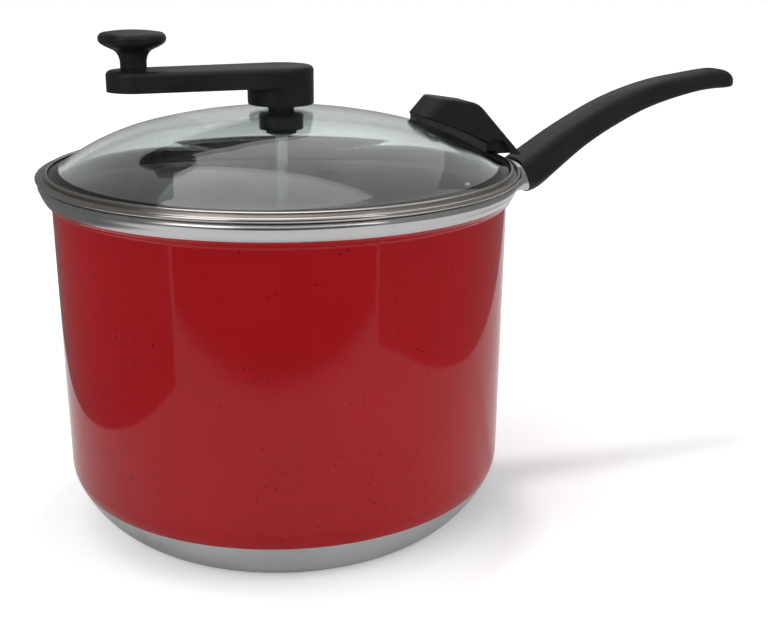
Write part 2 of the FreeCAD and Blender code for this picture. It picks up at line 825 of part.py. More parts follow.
def thumb_rest():
    face = Part.Face(rounded(rest_outline()))
    face.translate(Vector(0, -rest_width / 2, 0))
    block = face.extrude(Vector(0, rest_width, 0))
    lean_top = rest_start + rest_end_slope
    end_edges = []
    for edge in block.Edges:
        ends = [v.Point for v in edge.Vertexes]
        upright = abs(ends[0].z - ends[-1].z) > rest_height / 2
        if upright and max(end.x for end in ends) < lean_top + 1:
            end_edges.append(edge)
    block = block.makeFillet(rest_end_round, end_edges)
    roof = lip_line()[0].z + band_sheet + notch_height
    over = []
    for edge in block.Edges:
        middle = edge_middle(edge)
        across = abs(edge.Vertexes[0].Y - edge.Vertexes[-1].Y) > rest_width * 0.9
        above = middle.z - glass_height(min(middle.x, rest_heel))
        if not across and middle.z > roof + 0.5 and above > rest_height * 0.6:
            over.append(edge)
    block = block.makeFillet(rest_edge_round, over).cut(under_the_rest())
    under = []
    for edge in block.Edges:
        middle = edge_middle(edge)
        above = middle.z - glass_height(min(middle.x, rest_heel)) - pad_height(min(middle.x, rest_heel))
        if middle.x < rest_heel - 1 and abs(above) < 0.6:
            under.append(edge)
    block = block.makeFillet(rest_foot_round, under)
    insert_hole = rod(rest_foot(), rest_normal(), rest_insert_radius, rest_pad + rest_insert_length)
    return block.cut([insert_hole] + nose_recesses())


def thumb_rest_pad():
    start = rest_start + pad_inset
    low = glass_height(rest_heel) - 0.5
    strip_height = glass_apex + rest_height - low
    strip = Part.makeBox(rest_heel - pad_inset - start, rest_width - 2 * pad_inset, strip_height)
    strip.translate(Vector(start, pad_inset - rest_width / 2, low))
    corners = [e for e in strip.Edges
               if abs(edge_middle(e).x - start) < 1e-4 and e.Length > strip_height - 0.1]
    strip = strip.makeFillet(rest_end_round - pad_inset, corners)
    pad = strip.common(under_the_rest()).cut(dome_fill(0))
    insert_hole = rod(rest_foot(-glass_thickness), rest_normal(), rest_insert_radius,
                      glass_thickness + rest_height)
    return pad.cut([insert_hole, thumb_rest()])


def thumb_rest_insert():
    up = rest_normal()
    base = rest_foot(rest_pad / 2)
    body = rod(base, up, rest_insert_radius, rest_pad / 2 + rest_insert_length)
    return body.cut(rod(base, up, rest_screw_radius, rest_pad / 2 + rest_insert_length - 1))


def thumb_rest_washer():
    up = rest_normal() * -1
    base = rest_foot(-glass_thickness)
    body = rod(base, up, rest_washer_radius, rest_washer_thickness)
    return body.cut(rod(base, up, rest_screw_radius, rest_washer_thickness)).cut(glass_blank())


def thumb_rest_screw():
    up = rest_normal()
    seat = rest_foot(-glass_thickness - rest_washer_thickness)
    length = glass_thickness + rest_washer_thickness + rest_pad + rest_insert_length - 1.5
    shank = rod(seat, up, rest_screw_radius, length)
    head = placed(dome_head(rest_head_radius, rest_head_height), seat, up * -1)
    slot = Part.makeBox(rest_head_radius * 3, 1.1, 1.1)
    slot.translate(Vector(-rest_head_radius * 1.5, -0.55, rest_head_height - 0.8))
    return shank.fuse(head.cut(placed(slot, seat, up * -1))).removeSplitter()


# ---- crank ----

def arm_plan(bottom):
    """Arm seen from above: two unequal round ends joined by their common tangents."""
    lean = math.asin((arm_hub_radius - arm_end_radius) / crank_length)
    c = math.cos(lean)
    s = math.sin(lean)

    def hub_point(side):
        return Vector(-arm_hub_radius * s, side * arm_hub_radius * c, bottom)

    def end_point(side):
        return Vector(knob_x - arm_end_radius * s, side * arm_end_radius * c, bottom)

    hub_arc = arc(hub_point(-1), Vector(arm_hub_radius, 0, bottom), hub_point(1))
    end_arc = arc(end_point(1), Vector(knob_x - arm_end_radius, 0, bottom), end_point(-1))
    edges = [hub_arc, line(hub_point(1), end_point(1)), end_arc, line(end_point(-1), hub_point(-1))]
    return Part.Face(Part.Wire(edges))


def crank_arm():
    arm = arm_plan(arm_bottom).extrude(Vector(0, 0, arm_thickness))
    boss = disc(arm_hub_radius, boss_bottom, arm_bottom)
    body = arm.fuse(boss).removeSplitter()
    top_edges = [e for e in body.Edges if all(abs(v.Z - arm_top) < 1e-4 for v in e.Vertexes)]
    body = body.makeFillet(arm_top_round, top_edges)
    boss_edges = [e for e in body.Edges if all(abs(v.Z - boss_bottom) < 1e-4 for v in e.Vertexes)]
    body = body.makeFillet(arm_edge_round, boss_edges)
    insert_hole = disc(crank_insert_radius, boss_bottom - 1, shaft_top)
    knob_hole = disc(knob_screw_radius + running_gap, arm_bottom - 1, arm_top + 1, knob_x)
    counterbore = disc(knob_head_radius + counterbore_gap, arm_bottom - 1, head_top + end_play, knob_x)
    return body.cut([insert_hole, knob_hole, counterbore])


def crank_insert():
    return ring(crank_insert_radius, shaft_radius, boss_bottom, shaft_top)


def crank_shaft():
    shaft = disc(shaft_radius, shaft_bottom, shaft_top)
    groove = ring(shaft_radius + 1, shaft_radius - clip_groove_depth, clip_bottom, thrust_bottom)
    pin_hole = rod(Vector(0, -hub_radius * 2, pin_height()), Vector(0, 1, 0), hub_pin_radius, hub_radius * 4)
    return shaft.cut([groove, pin_hole])


def shaft_thrust_washer():
    return ring(thrust_washer_radius, shaft_radius, thrust_bottom, thrust_top)


def shaft_clip():
    clip = ring(clip_radius, shaft_radius - clip_groove_depth, clip_bottom, thrust_bottom)
    mouth = Part.makeBox(clip_radius * 2, (shaft_radius - clip_groove_depth) * 1.6, clip_thickness * 3)
    mouth.translate(Vector(0, -(shaft_radius - clip_groove_depth) * 0.8, clip_bottom - clip_thickness))
    return clip.cut(mouth)


# ---- stirrer ----

def pin_height():
    return hub_bottom + hub_height * 0.65


def stirrer_hub():
    body = turned_outline([(0, hub_bottom, 0), (hub_flange_radius, hub_bottom, 0),
                           (hub_flange_radius, hub_bottom + hub_flange, 0.6),
                           (hub_radius, hub_bottom + hub_flange, 1.5),
                           (hub_radius, hub_bottom + hub_height, 1.2), (0, hub_bottom + hub_height, 0)])
    bore = disc(shaft_radius, shaft_bottom, hub_bottom + hub_height + 1)
    pin_hole = rod(Vector(0, -hub_radius * 2, pin_height()), Vector(0, 1, 0), hub_pin_radius, hub_radius * 4)
    holes = [rod(place, AXIS, stir_rivet_radius, hub_flange * 4) for place in stir_rivet_places()]
    return body.cut([bore, pin_hole] + holes)


def hub_pin():
    return rod(Vector(0, -hub_radius, pin_height()), Vector(0, 1, 0), hub_pin_radius, hub_radius * 2)


def stir_rivet_places():
    """Two rivets through each blade, either side of its middle line."""
    along = (hub_radius + hub_flange_radius) / 2
    places = []
    for side in (-1, 1):
        for across in (-1, 1):
            places.append(Vector(side * along, across * stir_rivet_head * 1.25, blade_bottom - 1))
    return places


def blade():
    """One blade along +X: a flat strip with an upturned fin along its trailing edge."""
    start = hub_radius * 0.6
    strip = Part.makeBox(blade_length - start, blade_width, blade_sheet)
    strip.translate(Vector(start, -blade_width / 2, blade_bottom))
    fin = Part.makeBox(blade_length - hub_flange_radius - 3, blade_sheet, blade_fin)
    fin.translate(Vector(hub_flange_radius + 3, blade_width / 2 - blade_sheet, blade_bottom))
    body = strip.fuse(fin).removeSplitter()
    tip_edges = []
    for edge in body.Edges:
        upright = abs(edge.Vertexes[0].Z - edge.Vertexes[-1].Z) > blade_sheet * 0.9
        at_tip = all(abs(v.X - blade_length) < 1e-4 for v in edge.Vertexes)
        near_side = all(v.Y < 0 for v in edge.Vertexes)
        if upright and at_tip and near_side:
            tip_edges.append(edge)
    return body.makeFillet(blade_width * 0.4, tip_edges)


def stirrer_blades():
    first = blade()
    second = first.copy()
    second.rotate(ORIGIN, AXIS, 180)
    holes = [rod(place, AXIS, stir_rivet_radius, hub_flange * 4) for place in stir_rivet_places()]
    return Part.makeCompound([first.cut(holes), second.cut(holes)])


def stirrer_rivets():
    rivets = []
    stack = blade_sheet + hub_flange
    for place in stir_rivet_places():
        foot = Vector(place.x, place.y, blade_bottom)
        shank = rod(foot, AXIS, stir_rivet_radius, stack)
        top_head = placed(dome_head(stir_rivet_head, stir_rivet_dome), foot + Vector(0, 0, stack), AXIS)
        low_head = placed(dome_head(stir_rivet_head * 0.8, stir_rivet_dome / 2), foot, AXIS * -1)
        rivets.append(shank.fuse([top_head, low_head]).removeSplitter())
    return Part.makeCompound(rivets)


# ---- knob ----

def knob_profile():
    """Half outline of the mushroom knob from its foot to the crown, as spline, arc and line edges."""
    foot = knob_foot
    neck = point(knob_neck_radius, foot)
    waist = point(knob_neck_radius, foot + knob_neck_height * 0.4)
    throat = point(knob_neck_radius * 1.07, foot + knob_neck_height)
    flare_low = point(knob_neck_radius * 1.3, foot + knob_neck_height * 1.5)
    flare = point(knob_radius * 0.655, foot + knob_underside_height - 2.0)
    under = point(knob_radius * 0.9, foot + knob_underside_height)
    widest = point(knob_radius, foot + knob_rim_height)
    shoulder_radius = knob_radius * 0.87
    shoulder = point(shoulder_radius, foot + knob_height - knob_crown)
    crown = point(0, foot + knob_height)
    # the crown is part of a ball whose centre lies on the axis
    ball = (shoulder_radius ** 2 + knob_crown ** 2) / (2 * knob_crown)
    half = math.asin(shoulder_radius / ball) / 2
    on_crown = point(ball * math.sin(half), crown.z - ball * (1 - math.cos(half)))
    edges = [line(point(0, foot), neck), line(neck, waist)]
    edges.append(spline([waist, throat, flare_low, flare, under]))
    edges.append(arc(under, widest, shoulder))
    edges.append(arc(shoulder, on_crown, crown))
    edges.append(line(crown, point(0, foot)))
    return edges


def crank_knob():
    knob = turned(knob_profile(), Vector(knob_x, 0, 0))
    return knob.cut(disc(knob_insert_radius, knob_foot - 1, knob_foot + knob_insert_length, knob_x))


def knob_insert():
    body = disc(knob_insert_radius, knob_foot, knob_foot + knob_insert_length, knob_x)
    return body.cut(disc(knob_thread_radius, knob_foot - 1, knob_foot + knob_insert_length - 1, knob_x))


def knob_screw():
    shoulder = disc(knob_screw_radius, head_top, knob_foot, knob_x)
    thread = disc(knob_thread_radius, knob_foot, knob_foot + knob_insert_length - 1.5, knob_x)
    head = disc(knob_head_radius, head_top - knob_head_height, head_top, knob_x)
    slot = Part.makeBox(knob_head_radius * 3, 1.2, 1.2)
    slot.translate(Vector(knob_x - knob_head_radius * 1.5, -0.6, head_top - knob_head_height - 0.2))
    return shoulder.fuse([thread, head]).removeSplitter().cut(slot)


def knob_washer():
    return ring(knob_washer_radius, knob_screw_radius + 0.3, arm_top, arm_top + knob_washer_thickness, knob_x)


# ---- build ----

standing = [
    pot_shell, handle_bracket, bracket_rivets, flame_guard, handle_grip, handle_insert, handle_screw,
    lid_glass, lid_rim_band, glass_edge_seal, lid_bushing, bushing_nut, upper_glass_washer,
    lower_glass_washer, thumb_rest, thumb_rest_pad, thumb_rest_insert, thumb_rest_screw,
    thumb_rest_washer,
]
turning = [
    crank_arm, crank_insert, crank_shaft, shaft_thrust_washer, shaft_clip, stirrer_hub, hub_pin,
    stirrer_blades, stirrer_rivets, crank_knob, knob_insert, knob_screw, knob_washer,
]

os.makedirs("parts", exist_ok=True)
for piece in standing:
    export(piece.__name__, piece())
for piece in turning:
    shape = piece()
    shape.rotate(ORIGIN, AXIS, crank_turn)
    export(piece.__name__, shape)
print("glass apex", round(glass_apex, 2), "boss bottom", round(boss_bottom, 2), "knob foot", round(knob_foot, 2))
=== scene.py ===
import math
import bpy
import bmesh
import numpy as np
from mathutils import Matrix


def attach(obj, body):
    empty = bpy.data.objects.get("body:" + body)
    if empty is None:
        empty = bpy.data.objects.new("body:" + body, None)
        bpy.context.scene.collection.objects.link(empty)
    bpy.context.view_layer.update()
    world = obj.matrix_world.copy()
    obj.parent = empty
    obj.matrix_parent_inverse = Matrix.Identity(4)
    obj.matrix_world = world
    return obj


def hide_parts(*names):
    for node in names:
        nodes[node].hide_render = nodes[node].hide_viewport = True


# Hand-cranked popcorn popper. The object's shapes are worked out in millimetres and put into
# their meshes in metres. The pot stands on z = 0 with its axis on Z; the handle is along +X.

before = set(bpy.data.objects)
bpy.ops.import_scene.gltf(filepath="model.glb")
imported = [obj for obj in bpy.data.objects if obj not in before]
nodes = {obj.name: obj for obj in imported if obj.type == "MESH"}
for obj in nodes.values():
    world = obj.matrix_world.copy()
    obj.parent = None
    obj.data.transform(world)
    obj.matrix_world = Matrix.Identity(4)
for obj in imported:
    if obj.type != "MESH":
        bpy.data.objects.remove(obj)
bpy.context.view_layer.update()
print("frame loaded:", len(nodes), "nodes")


cameraSettings = dict(
    place=(-169.4, -553.9, 283.8),     # mm
    forward=(0.3595, 0.8844, -0.2976),
    right=(0.9273, -0.3743, 0.0077),
    lens=54.41, sensor=36.0,           # mm
    nearest=0.01, farthest=50.0,       # m
)


def makeCamera(s):
    forward = np.array(s["forward"]) / np.linalg.norm(s["forward"])
    up = np.cross(s["right"], forward)
    up /= np.linalg.norm(up)
    right = np.cross(forward, up)
    matrix = Matrix.Identity(4)
    for row in range(3):
        matrix[row] = right[row], up[row], -forward[row], s["place"][row] / 1000
    data = bpy.data.cameras.new("viewCamera")
    data.lens, data.sensor_width = s["lens"], s["sensor"]
    data.clip_start, data.clip_end = s["nearest"], s["farthest"]
    camera = bpy.data.objects.new("viewCamera", data)
    camera.matrix_world = matrix
    bpy.context.scene.collection.objects.link(camera)
    bpy.context.scene.camera = camera


makeCamera(cameraSettings)
print("camera set")


def linear(hexText):
    # sRGB hex to linear colour, by the standard's own curve, with full alpha
    c = np.array([int(hexText[i:i + 2], 16) for i in (0, 2, 4)]) / 255
    c = np.where(c <= 0.04045, c / 12.92, ((c + 0.055) / 1.055) ** 2.4)
    return (*c.tolist(), 1.0)


white = linear("FFFFFF")
cloudSpan = (0.3, 0.7)                 # most values of a noise lie in here
ringDrift = 0.0016                     # how far turning marks drift as they go round the axis


def clearTree(holder):
    # the node tree of a material or a world, emptied
    holder.use_nodes = True
    holder.node_tree.nodes.clear()
    return holder.node_tree


def addNode(tree, kind, inputs=None, **settings):
    # one node with its settings; inputs maps a socket's name or number to a value or to
    # another socket
    made = tree.nodes.new("ShaderNode" + kind)
    for name, value in settings.items():
        setattr(made, name, value)
    for key, value in (inputs or {}).items():
        if isinstance(value, bpy.types.NodeSocket):
            tree.links.new(value, made.inputs[key])
        else:
            made.inputs[key].default_value = value
    return made


def outOf(tree, kind, *inputs, **settings):
    # the first output of a node whose first inputs are given in order
    return addNode(tree, kind, dict(enumerate(inputs)), **settings).outputs[0]


def vectorMath(tree, operation, *inputs):
    made = addNode(tree, "VectorMath", dict(enumerate(inputs)), operation=operation)
    return made.outputs["Value" if operation in ("LENGTH", "DOT_PRODUCT") else "Vector"]


def noise(tree, place, scale, detail, **inputs):
    # cloudy noise, scale in waves per metre
    inputs.update(Vector=place, Scale=scale, Detail=detail)
    return addNode(tree, "TexNoise", inputs).outputs[0]


def remap(tree, value, span, onto=(0.0, 1.0), smooth=False):
    # carries one span onto another and holds the value at both ends
    form = "SMOOTHSTEP" if smooth else "LINEAR"
    return outOf(tree, "MapRange", value, *span, *onto, interpolation_type=form)


def tones(tree, value, *stops):
    # a colour that follows the value through (place, hex) stops
    made = addNode(tree, "ValToRGB", {0: value})
    elements = made.color_ramp.elements
    for place, _ in stops[2:]:
        elements.new(place)
    for element, (place, shade) in zip(elements, stops):
        element.position, element.color = place, linear(shade)
    return made.outputs[0]


def newMaterial(name, **sockets):
    # a material with one Principled shader; a socket that is the same all over is set on it
    material = bpy.data.materials.new(name)
    tree = clearTree(material)
    shader = addNode(tree, "BsdfPrincipled")
    for key, value in sockets.items():
        shader.inputs[key.replace("_", " ")].default_value = value
    addNode(tree, "OutputMaterial", {"Surface": shader.outputs[0]})
    place = addNode(tree, "TexCoord").outputs["Object"]
    return material, tree, shader, place


def colourBy(tree, shader, colour):
    tree.links.new(colour, shader.inputs["Base Color"])


def clouded(tree, shader, cloud, rough, shades=()):
    # the cloud varies the roughness and, if there are two shades, the colour
    tree.links.new(remap(tree, cloud, cloudSpan, rough), shader.inputs["Roughness"])
    if shades:
        colourBy(tree, shader, tones(tree, cloud, *zip(cloudSpan, shades)))


def relief(tree, shader, height, strength, distance):
    # bump in the shader's surface
    bump = addNode(tree, "Bump", dict(Height=height, Strength=strength, Distance=distance))
    tree.links.new(bump.outputs[0], shader.inputs["Normal"])


def dotted(tree, place, base, dot, scale, reach, channel, share):
    # a dot in some cells, solid and then fading over its reach, in cells; a cell has one where
    # its random number in that channel is below the share
    cells = addNode(tree, "TexVoronoi", dict(Vector=place, Scale=scale))
    spot = remap(tree, cells.outputs["Distance"], reach, (1.0, 0.0))
    lottery = addNode(tree, "SeparateColor", {0: cells.outputs["Color"]})
    drawn = outOf(tree, "Math", lottery.outputs[channel], share, operation="LESS_THAN")
    shown = outOf(tree, "Math", spot, drawn, operation="MULTIPLY")
    mixed = addNode(tree, "Mix", {0: shown, 6: base, 7: linear(dot)}, data_type="RGBA")
    return mixed.outputs[2]


def ringMarks(tree, place):
    # coordinates for turning or rolling marks round the axis: radius, height, and a slow change
    # with the angle
    parts = addNode(tree, "SeparateXYZ", {0: place})
    flat = outOf(tree, "CombineXYZ", parts.outputs[0], parts.outputs[1])
    turned = vectorMath(tree, "NORMALIZE", flat)
    slow = vectorMath(tree, "MULTIPLY", turned, (ringDrift, ringDrift, 0.0))
    radius = vectorMath(tree, "LENGTH", flat)
    lines = outOf(tree, "CombineXYZ", radius, 0.0, parts.outputs[2])
    return vectorMath(tree, "ADD", lines, slow)


def enamelRed():
    # Porcelain enamel, sprayed and fired: an even deep red under a glassy skin that ripples
    # slightly, with pinholes and specks of scale that thicken towards the base.
    material, tree, shader, place = newMaterial(
        "enamelRed", Roughness=0.06, IOR=1.5, Specular_IOR_Level=0.22)
    cloud = noise(tree, place, scale=9.0, detail=3.0)
    base = tones(tree, cloud, *zip(cloudSpan, ("8E1218", "9A151B")))
    # specks: 0.6 to 1 mm across, in fewer of the 3.3 mm cells the higher up, in loose clusters
    height = addNode(tree, "SeparateXYZ", {0: place}).outputs[2]
    share = remap(tree, height, (0.03, 0.15), (0.8, 0.1))
    patch = noise(tree, place, scale=28.0, detail=1.0)
    clustered = remap(tree, patch, (0.4, 0.62), (0.2, 1.5))
    wanted = outOf(tree, "Math", share, clustered, operation="MULTIPLY")
    colourBy(tree, shader, dotted(tree, place, base, "2E0609", scale=300.0,
                                  reach=(0.09, 0.15), channel=0, share=wanted))
    # ripple: the fired skin is never quite flat, over some 60 mm and, less, over 12 mm
    slow = noise(tree, place, scale=16.0, detail=1.0)
    quick = noise(tree, place, scale=80.0, detail=1.0)
    both = outOf(tree, "Math", quick, 0.08, slow, operation="MULTIPLY_ADD")
    relief(tree, shader, both, strength=0.12, distance=0.002)
    return material


def spunAluminium():
    # Aluminium, spun on a lathe and left bare: a soft satin with fine rings round the axis and
    # faint grey stains from the stove.
    material, tree, shader, place = newMaterial("spunAluminium", Metallic=1.0)
    stain = noise(tree, place, scale=34.0, detail=5.0, Roughness=0.6)
    clouded(tree, shader, stain, rough=(0.2, 0.26))
    colourBy(tree, shader, tones(tree, stain, (0.28, "A9A9A8"), (0.4, "C0C0C0"), (0.7, "CACACB")))
    # turning marks about 0.5 mm apart, coarser than the real ones so that they show
    fine = noise(tree, ringMarks(tree, place), scale=1800.0, detail=2.0)
    relief(tree, shader, fine, strength=0.15, distance=0.0003)
    return material


def polishedSteel():
    # Stainless strip, rolled and buffed: bright, slightly warm, with long soft streaks round
    # the lid.
    material, tree, shader, place = newMaterial("polishedSteel", Metallic=1.0)
    streak = noise(tree, ringMarks(tree, place), scale=1500.0, detail=3.0)
    clouded(tree, shader, noise(tree, place, scale=45.0, detail=4.0), rough=(0.12, 0.24))
    colourBy(tree, shader, tones(tree, streak, *zip(cloudSpan, ("AAA6A1", "CAC6C1"))))
    relief(tree, shader, streak, strength=0.1, distance=0.0003)
    return material


def blackPhenolic():
    # Phenolic resin, compression moulded: near black and satin, with a fine moulded skin and a
    # few pale nicks.
    material, tree, shader, place = newMaterial("blackPhenolic", IOR=1.5, Specular_IOR_Level=0.24)
    cloud = noise(tree, place, scale=60.0, detail=3.0)
    clouded(tree, shader, cloud, rough=(0.34, 0.46))
    base = tones(tree, cloud, *zip(cloudSpan, ("16171A", "1D1E21")))
    # nicks: one 5 mm cell in twelve holds a pale dot 0.5 mm across
    colourBy(tree, shader, dotted(tree, place, base, "66686C", scale=200.0,
                                  reach=(0.03, 0.07), channel=1, share=0.08))
    # grain 0.7 mm across, coarser than the real skin so that it shows
    grain = noise(tree, place, scale=1400.0, detail=2.0)
    relief(tree, shader, grain, strength=0.12, distance=0.0001)
    return material


def blackAcetal():
    # Acetal, turned from rod: black with a soft even sheen.
    material, tree, shader, place = newMaterial(
        "blackAcetal", Base_Color=linear("1A1B1E"), IOR=1.48, Specular_IOR_Level=0.36)
    clouded(tree, shader, noise(tree, place, scale=200.0, detail=3.0), rough=(0.34, 0.44))
    return material


def greySilicone():
    # Silicone rubber, moulded: matt dark grey with a dusty surface.
    material, tree, shader, place = newMaterial("greySilicone", IOR=1.42)
    cloud = noise(tree, place, scale=350.0, detail=3.0)
    clouded(tree, shader, cloud, rough=(0.55, 0.7), shades=("26272A", "303133"))
    return material


def temperedGlass():
    # Soda-lime glass, pressed and tempered: clear and faintly green, with very slight waves.
    # Lamps shine through it, so that the inside of the pot is lit.
    material, tree, shader, place = newMaterial(
        "temperedGlass", Base_Color=linear("E6ECE9"), Roughness=0.0, IOR=1.5,
        Transmission_Weight=1.0)
    wave = noise(tree, place, scale=14.0, detail=1.0)
    relief(tree, shader, wave, strength=0.04, distance=0.002)
    shadow = addNode(tree, "LightPath").outputs["Is Shadow Ray"]
    clear = outOf(tree, "BsdfTransparent", linear("F8FAF9"))
    passing = outOf(tree, "MixShader", shadow, shader.outputs[0], clear)
    tree.links.new(passing, tree.nodes["Material Output"].inputs[0])
    return material


def zincSteel():
    # Steel, cold headed and zinc plated: bluish grey with a cloudy shine.
    material, tree, shader, place = newMaterial("zincSteel", Metallic=1.0)
    cloud = noise(tree, place, scale=260.0, detail=4.0)
    clouded(tree, shader, cloud, rough=(0.29, 0.42), shades=("AEB0B4", "C0C2C4"))
    return material


def turnedBrass():
    # Brass, turned on a lathe: yellow with a fine cloudy shine.
    material, tree, shader, place = newMaterial("turnedBrass", Metallic=1.0)
    cloud = noise(tree, place, scale=500.0, detail=3.0)
    clouded(tree, shader, cloud, rough=(0.29, 0.38), shades=("C9A45A", "D6B36A"))
    return material


finishes = dict(
    enamel=enamelRed(),
    aluminium=spunAluminium(),
    steel=polishedSteel(),
    phenolic=blackPhenolic(),
    acetal=blackAcetal(),
    silicone=greySilicone(),
    glass=temperedGlass(),
    zinc=zincSteel(),
    brass=turnedBrass(),
)
print("materials made:", len(finishes))


lathing = dict(turns=300, weld=1e-7)   # steps round the axis; m within which points are one


def putPiece(name, points, faces, body, finish, slot, sharp=35.0, stands=()):
    # points in mm; faces are made to point outwards, edges over the sharp angle stay crisp
    mesh = bpy.data.meshes.new(name)
    mesh.from_pydata((np.asarray(points) / 1000).tolist(), [], faces)
    work = bmesh.new()
    work.from_mesh(mesh)
    bmesh.ops.remove_doubles(work, verts=work.verts, dist=lathing["weld"])
    bmesh.ops.recalc_face_normals(work, faces=work.faces)
    work.to_mesh(mesh)
    work.free()
    mesh.shade_smooth()
    mesh.set_sharp_from_angle(angle=math.radians(sharp))
    mesh.materials.append(finishes[finish])
    piece = bpy.data.objects.new(name, mesh)
    bpy.context.scene.collection.objects.link(piece)
    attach(piece, body)
    if stands:
        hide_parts(*stands)


def gridFaces(rows, columns, closed):
    # quads between neighbours of a rows by columns grid of points, which may close both ways
    i = np.arange(rows if closed else rows - 1)[:, None]
    j = np.arange(columns if closed else columns - 1)[None, :]
    down, right = (i + 1) % rows, (j + 1) % columns
    corners = [i * columns + j, down * columns + j, down * columns + right, i * columns + right]
    return np.stack(corners, -1).reshape(-1, 4).tolist()


def lathe(name, profile, body, finish, slot, **more):
    # a point of the closed profile (r, z) goes round the axis: x = r cos t, y = r sin t
    profile = np.asarray(profile, float)
    turns = lathing["turns"]
    t = np.linspace(0, 2 * math.pi, turns, endpoint=False)[:, None]
    r = profile[None, :, 0]
    z = np.broadcast_to(profile[None, :, 1], (turns, len(profile)))
    points = np.stack([r * np.cos(t), r * np.sin(t), z], -1).reshape(-1, 3)
    putPiece(name, points, gridFaces(turns, len(profile), True), body, finish, slot, **more)


def arcThrough(a, b, c, steps):
    # points on the circle through a, b and c, from a to c; u is its centre, as far from a as
    # from b and from c
    a, b, c = (np.asarray(p, float) for p in (a, b, c))
    u = np.linalg.solve([b - a, c - a], [(b @ b - a @ a) / 2, (c @ c - a @ a) / 2])
    start, middle, end = [math.atan2(p[1] - u[1], p[0] - u[0]) for p in (a, b, c)]
    turn = (end - start) % (2 * math.pi)
    if (middle - start) % (2 * math.pi) > turn:
        turn -= 2 * math.pi
    t = start + turn * np.linspace(0, 1, steps + 1)
    return u + math.dist(a, u) * np.stack([np.cos(t), np.sin(t)], -1)


def straight(a, b, steps):
    # evenly spaced points from a to b
    t = np.linspace(0, 1, steps + 1)[:, None]
    return np.asarray(a) * (1 - t) + np.asarray(b) * t


def softened(corners, steps=5):
    # outline through (r, z, radius) corners, each turned into an arc of its radius
    corners = np.asarray(corners, float)
    here = corners[:, :2]
    before = np.roll(here, 1, 0) - here
    after = np.roll(here, -1, 0) - here
    before /= np.linalg.norm(before, axis=1)[:, None]
    after /= np.linalg.norm(after, axis=1)[:, None]
    run = []
    for p, u, v, radius in zip(here, before, after, corners[:, 2]):
        if radius <= 0:
            run.append(p[None])
            continue
        half = math.acos(float(np.clip(u @ v, -1, 1))) / 2
        reach = radius / math.tan(half)
        middle = (u + v) / np.linalg.norm(u + v) * (radius / math.sin(half) - radius)
        run.append(arcThrough(p + u * reach, p + middle, p + v * reach, steps))
    return np.concatenate(run)


def joined(first, *runs):
    # one polyline from runs that meet end to start
    return np.concatenate([np.asarray(first)] + [np.asarray(run)[1:] for run in runs])


pot = dict(
    radius=111.5, mouthRadius=112.3, height=177.0, wall=1.6, floor=3.0,
    cornerRun=26.8, cornerRise=32.3, cornerPower=1.5,
    # the collar's foot, waist and bulge: step out from the mouth, drop below the rim, and how
    # far the point of the inside lies in and up for each mm of sheet
    collar=[(0.0, 11.4, 1.0, 0.5), (3.6, 8.0, 0.8, 0.6), (5.2, 4.6, 1.0, 0.25)],
    rimRadius=118.4, rollRadius=2.1, neckAngle=25.0,
    middle=0.01,                       # the base and the floor close on a disc of this radius
    coatBottom=24.9, coatTop=168.9, coatThickness=0.16, coatEdge=0.7,
    coatSink=0.05,                     # the coat's back lies this deep in the wall
    coatFill=2.4, fillPoints=21,       # length of outline that a point of the coat is the mean of
    edgePoints=9, wallPoints=70, collarPoints=24,
)
rollR, rollZ = pot["rimRadius"] - pot["rollRadius"], pot["height"] - pot["rollRadius"]


def onRoll(degrees):
    # a point of the rolled rim
    angle = math.radians(degrees)
    return rollR + pot["rollRadius"] * math.cos(angle), rollZ + pot["rollRadius"] * math.sin(angle)


def cornerCurve(radius, run, base, rise, steps=28):
    # superellipse: across = sin(t)^(2/p), up = 1 - cos(t)^(2/p), t from 0 to a quarter turn
    t = np.linspace(0, math.pi / 2, steps + 1)
    p = pot["cornerPower"]
    across = np.sin(t) ** (2 / p)
    up = 1 - np.clip(np.cos(t), 0, 1) ** (2 / p)
    return np.stack([radius - run + run * across, base + rise * up], -1)


def collarPoints(sheet):
    # foot, waist and bulge; sheet is 0 for the outside and the wall's thickness for the inside
    return [(pot["mouthRadius"] + step - sheet * shrink, pot["height"] - drop + sheet * lift)
            for step, drop, shrink, lift in pot["collar"]]


def potOutside():
    # base corner, wall, collar and roll, from the flat base up
    foot, waist, bulge = collarPoints(0)
    neck = onRoll(-pot["neckAngle"])
    corner = cornerCurve(pot["radius"], pot["cornerRun"], 0, pot["cornerRise"])
    return joined(
        corner, straight(corner[-1], foot, steps=24), arcThrough(foot, waist, bulge, steps=16),
        straight(bulge, neck, steps=6), arcThrough(neck, onRoll(0), onRoll(90), steps=12))


def makePot():
    outside = potOutside()
    foot, waist, bulge = collarPoints(pot["wall"])
    corner = cornerCurve(pot["radius"] - pot["wall"], pot["cornerRun"] - pot["wall"] / 2,
                         pot["floor"], pot["cornerRise"] - pot["floor"])[::-1]
    lining = joined(
        arcThrough(onRoll(90), onRoll(135), onRoll(180), steps=6),
        straight(onRoll(180), bulge, steps=4), arcThrough(bulge, waist, foot, steps=6),
        straight(foot, corner[0], steps=24), corner)
    base = straight((pot["middle"], 0.0), outside[0], steps=30)
    floor = straight(lining[-1], (pot["middle"], pot["floor"]), steps=30)
    lathe("potBody", joined(base, outside, lining, floor), "pot", "aluminium", "red_enamel",
          stands=("pot_shell",))


